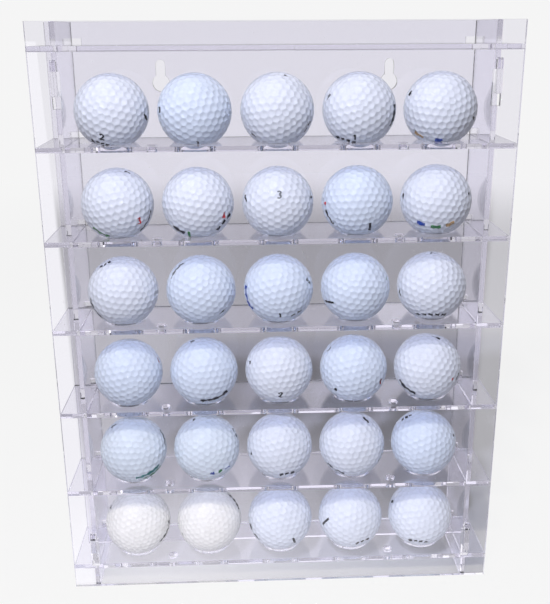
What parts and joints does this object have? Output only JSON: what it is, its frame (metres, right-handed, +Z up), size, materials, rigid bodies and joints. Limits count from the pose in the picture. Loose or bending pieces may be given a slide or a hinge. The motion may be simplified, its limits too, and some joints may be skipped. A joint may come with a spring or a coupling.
{
  "type": "golf ball display case",
  "caption": "Clear acrylic case that holds golf balls on rows of seated shelves behind a lift-off hooked front cover, for a table or a wall.",
  "frame": {"origin": "middle of the footprint, at floor level", "axes": "+X to the right, the front cover faces -Y, +Z up"},
  "size_m": [0.269, 0.0564, 0.3501],
  "materials": {
    "clear_acrylic": "clear cast acrylic sheet with glossy faces and polished laser-cut edges",
    "white_ball": "bright bluish white clear-coated ball cover",
    "cream_ball": "warm cream white clear-coated ball cover"
  },
  "bodies": {
    "case": {"back_panel": "clear_acrylic", "left_side_panel": "clear_acrylic", "right_side_panel": "clear_acrylic", "top_board": "clear_acrylic", "shelf_1": "clear_acrylic", "shelf_2": "clear_acrylic", "shelf_3": "clear_acrylic", "shelf_4": "clear_acrylic", "shelf_5": "clear_acrylic", "shelf_6": "clear_acrylic"},
    "cover": {"front_cover": "clear_acrylic"},
    "ball_1_1": {"ball_1_1": "white_ball"},
    "ball_1_2": {"ball_1_2": "white_ball"},
    "ball_1_3": {"ball_1_3": "white_ball"},
    "ball_1_4": {"ball_1_4": "white_ball"},
    "ball_1_5": {"ball_1_5": "white_ball"},
    "ball_2_1": {"ball_2_1": "white_ball"},
    "ball_2_2": {"ball_2_2": "white_ball"},
    "ball_2_3": {"ball_2_3": "white_ball"},
    "ball_2_4": {"ball_2_4": "white_ball"},
    "ball_2_5": {"ball_2_5": "white_ball"},
    "ball_3_1": {"ball_3_1": "white_ball"},
    "ball_3_2": {"ball_3_2": "white_ball"},
    "ball_3_3": {"ball_3_3": "white_ball"},
    "ball_3_4": {"ball_3_4": "white_ball"},
    "ball_3_5": {"ball_3_5": "white_ball"},
    "ball_4_1": {"ball_4_1": "white_ball"},
    "ball_4_2": {"ball_4_2": "white_ball"},
    "ball_4_3": {"ball_4_3": "white_ball"},
    "ball_4_4": {"ball_4_4": "white_ball"},
    "ball_4_5": {"ball_4_5": "white_ball"},
    "ball_5_1": {"ball_5_1": "white_ball"},
    "ball_5_2": {"ball_5_2": "white_ball"},
    "ball_5_3": {"ball_5_3": "white_ball"},
    "ball_5_4": {"ball_5_4": "white_ball"},
    "ball_5_5": {"ball_5_5": "white_ball"},
    "ball_6_1": {"ball_6_1": "cream_ball"},
    "ball_6_2": {"ball_6_2": "cream_ball"},
    "ball_6_3": {"ball_6_3": "white_ball"},
    "ball_6_4": {"ball_6_4": "white_ball"},
    "ball_6_5": {"ball_6_5": "white_ball"}
  },
  "joints": [
    {"name": "cover_lift", "type": "slide", "parent": "case", "child": "cover", "axis": [0, 0, 1], "range_m": [0, 0.0065]},
    {"name": "ball_1_1_lift", "type": "slide", "parent": "case", "child": "ball_1_1", "axis": [0, 0, 1], "range_m": [0, 0.0114]},
    {"name": "ball_1_2_lift", "type": "slide", "parent": "case", "child": "ball_1_2", "axis": [0, 0, 1], "range_m": [0, 0.0114]},
    {"name": "ball_1_3_lift", "type": "slide", "parent": "case", "child": "ball_1_3", "axis": [0, 0, 1], "range_m": [0, 0.0114]},
    {"name": "ball_1_4_lift", "type": "slide", "parent": "case", "child": "ball_1_4", "axis": [0, 0, 1], "range_m": [0, 0.0114]},
    {"name": "ball_1_5_lift", "type": "slide", "parent": "case", "child": "ball_1_5", "axis": [0, 0, 1], "range_m": [0, 0.0114]},
    {"name": "ball_2_1_lift", "type": "slide", "parent": "case", "child": "ball_2_1", "axis": [0, 0, 1], "range_m": [0, 0.0105]},
    {"name": "ball_2_2_lift", "type": "slide", "parent": "case", "child": "ball_2_2", "axis": [0, 0, 1], "range_m": [0, 0.0105]},
    {"name": "ball_2_3_lift", "type": "slide", "parent": "case", "child": "ball_2_3", "axis": [0, 0, 1], "range_m": [0, 0.0105]},
    {"name": "ball_2_4_lift", "type": "slide", "parent": "case", "child": "ball_2_4", "axis": [0, 0, 1], "range_m": [0, 0.0105]},
    {"name": "ball_2_5_lift", "type": "slide", "parent": "case", "child": "ball_2_5", "axis": [0, 0, 1], "range_m": [0, 0.0105]},
    {"name": "ball_3_1_lift", "type": "slide", "parent": "case", "child": "ball_3_1", "axis": [0, 0, 1], "range_m": [0, 0.0105]},
    {"name": "ball_3_2_lift", "type": "slide", "parent": "case", "child": "ball_3_2", "axis": [0, 0, 1], "range_m": [0, 0.0105]},
    {"name": "ball_3_3_lift", "type": "slide", "parent": "case", "child": "ball_3_3", "axis": [0, 0, 1], "range_m": [0, 0.0105]},
    {"name": "ball_3_4_lift", "type": "slide", "parent": "case", "child": "ball_3_4", "axis": [0, 0, 1], "range_m": [0, 0.0105]},
    {"name": "ball_3_5_lift", "type": "slide", "parent": "case", "child": "ball_3_5", "axis": [0, 0, 1], "range_m": [0, 0.0105]},
    {"name": "ball_4_1_lift", "type": "slide", "parent": "case", "child": "ball_4_1", "axis": [0, 0, 1], "range_m": [0, 0.0105]},
    {"name": "ball_4_2_lift", "type": "slide", "parent": "case", "child": "ball_4_2", "axis": [0, 0, 1], "range_m": [0, 0.0105]},
    {"name": "ball_4_3_lift", "type": "slide", "parent": "case", "child": "ball_4_3", "axis": [0, 0, 1], "range_m": [0, 0.0105]},
    {"name": "ball_4_4_lift", "type": "slide", "parent": "case", "child": "ball_4_4", "axis": [0, 0, 1], "range_m": [0, 0.0105]},
    {"name": "ball_4_5_lift", "type": "slide", "parent": "case", "child": "ball_4_5", "axis": [0, 0, 1], "range_m": [0, 0.0105]},
    {"name": "ball_5_1_lift", "type": "slide", "parent": "case", "child": "ball_5_1", "axis": [0, 0, 1], "range_m": [0, 0.0105]},
    {"name": "ball_5_2_lift", "type": "slide", "parent": "case", "child": "ball_5_2", "axis": [0, 0, 1], "range_m": [0, 0.0105]},
    {"name": "ball_5_3_lift", "type": "slide", "parent": "case", "child": "ball_5_3", "axis": [0, 0, 1], "range_m": [0, 0.0105]},
    {"name": "ball_5_4_lift", "type": "slide", "parent": "case", "child": "ball_5_4", "axis": [0, 0, 1], "range_m": [0, 0.0105]},
    {"name": "ball_5_5_lift", "type": "slide", "parent": "case", "child": "ball_5_5", "axis": [0, 0, 1], "range_m": [0, 0.0105]},
    {"name": "ball_6_1_lift", "type": "slide", "parent": "case", "child": "ball_6_1", "axis": [0, 0, 1], "range_m": [0, 0.0105]},
    {"name": "ball_6_2_lift", "type": "slide", "parent": "case", "child": "ball_6_2", "axis": [0, 0, 1], "range_m": [0, 0.0105]},
    {"name": "ball_6_3_lift", "type": "slide", "parent": "case", "child": "ball_6_3", "axis": [0, 0, 1], "range_m": [0, 0.0105]},
    {"name": "ball_6_4_lift", "type": "slide", "parent": "case", "child": "ball_6_4", "axis": [0, 0, 1], "range_m": [0, 0.0105]},
    {"name": "ball_6_5_lift", "type": "slide", "parent": "case", "child": "ball_6_5", "axis": [0, 0, 1], "range_m": [0, 0.0105]}
  ]
}
